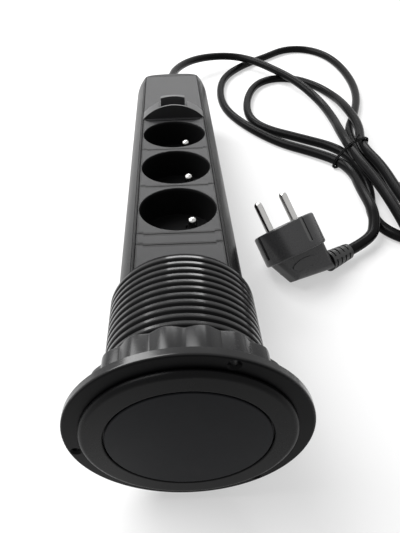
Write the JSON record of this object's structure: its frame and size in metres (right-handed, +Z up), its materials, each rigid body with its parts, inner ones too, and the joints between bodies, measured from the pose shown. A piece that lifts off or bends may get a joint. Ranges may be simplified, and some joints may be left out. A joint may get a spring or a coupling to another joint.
{
  "type": "pop up desk socket",
  "caption": "Round tower with earthed sockets that slides up through a threaded desk collar, with a clamp nut, a cap, and a cord in a tied hank with an angled plug.",
  "frame": {"origin": "on the table, under the middle of the tower and collar, which lie on the flange's rim and the end cap's edge", "axes": "+Y along the tower towards the cord end, +Z up from the table, +X to the right when the sockets face up and the collar is near"},
  "size_m": [0.277, 0.5155, 0.09],
  "materials": {
    "moulding": "satin black",
    "thread": "semi gloss black",
    "face": "satin anthracite",
    "guide": "semi gloss black",
    "contact": "plain",
    "pin": "polished nickel",
    "screw": "zinc",
    "spring": "bright spring steel",
    "inner": "natural nylon",
    "rubber": "soft black",
    "sheath": "semi gloss black flexible plastic",
    "core": "coloured insulation",
    "plug": "satin black"
  },
  "bodies": {
    "desk_collar_body": {"desk_collar": "thread"},
    "washer": {"clamp_washer": "moulding"},
    "nut": {"clamp_nut": "moulding"},
    "tower": {"cap_ring": "moulding", "cap_disc": "moulding", "cap_seal": "rubber", "cap_screws": "screw", "tower_shell": "face", "head_plate": "face", "spacer_strip": "face", "lower_plate": "face", "shoe_spring": "spring", "line_bar": "contact", "neutral_bar": "contact", "earth_bar": "contact", "end_cap": "face", "end_cap_screws": "screw", "cord_clamp": "inner", "clamp_screws": "screw", "cord_gland": "rubber", "inner_cord": "sheath", "inner_cores": "core", "mains_cord": "sheath", "cord_tie": "sheath", "plug_body": "plug", "plug_pins": "pin", "plug_earth_clips": "pin", "plug_boot": "plug", "socket_module_1": "face", "earth_pin_1": "pin", "contact_block_1": "inner", "line_contact_1": "contact", "neutral_contact_1": "contact", "socket_module_2": "face", "earth_pin_2": "pin", "contact_block_2": "inner", "line_contact_2": "contact", "neutral_contact_2": "contact", "socket_module_3": "face", "earth_pin_3": "pin", "contact_block_3": "inner", "line_contact_3": "contact", "neutral_contact_3": "contact"},
    "shoe": {"brake_shoe": "guide"},
    "shutter_slider_1": {"shutter_1": "inner"},
    "shutter_slider_2": {"shutter_2": "inner"},
    "shutter_slider_3": {"shutter_3": "inner"}
  },
  "joints": [
    {"name": "washer_travel", "type": "slide", "parent": "desk_collar_body", "child": "washer", "axis": [0, 0.9988, -0.049], "range_m": [0, 0.045]},
    {"name": "nut_turn", "type": "hinge", "parent": "washer", "child": "nut", "pos_m": [0, -0.16177, 0.04442], "axis": [0, 0.9988, -0.049], "range_deg": [0, 4400]},
    {"name": "tower_slide", "type": "slide", "parent": "desk_collar_body", "child": "tower", "axis": [0, -0.9988, 0.049], "range_m": [0, 0.232]},
    {"name": "shoe_press", "type": "slide", "parent": "tower", "child": "shoe", "axis": [0, -0.049, -0.9988], "range_m": [0, 0.0025], "stiffness_N_per_m": 1500, "springref_m": -0.001, "deforming": ["shoe_spring"]},
    {"name": "shutter_slide_1", "type": "slide", "parent": "tower", "child": "shutter_slider_1", "axis": [-0.7071, 0.7063, -0.0346], "range_m": [0, 0.0062], "stiffness_N_per_m": 120, "springref_m": -0.004},
    {"name": "shutter_slide_2", "type": "slide", "parent": "tower", "child": "shutter_slider_2", "axis": [-0.7071, 0.7063, -0.0346], "range_m": [0, 0.0062], "stiffness_N_per_m": 120, "springref_m": -0.004},
    {"name": "shutter_slide_3", "type": "slide", "parent": "tower", "child": "shutter_slider_3", "axis": [-0.7071, 0.7063, -0.0346], "range_m": [0, 0.0062], "stiffness_N_per_m": 120, "springref_m": -0.004}
  ],
  "couplings": [
    {"joint": "washer_travel", "follows": "nut_turn", "m_per_rad": 0.00058569}
  ]
}
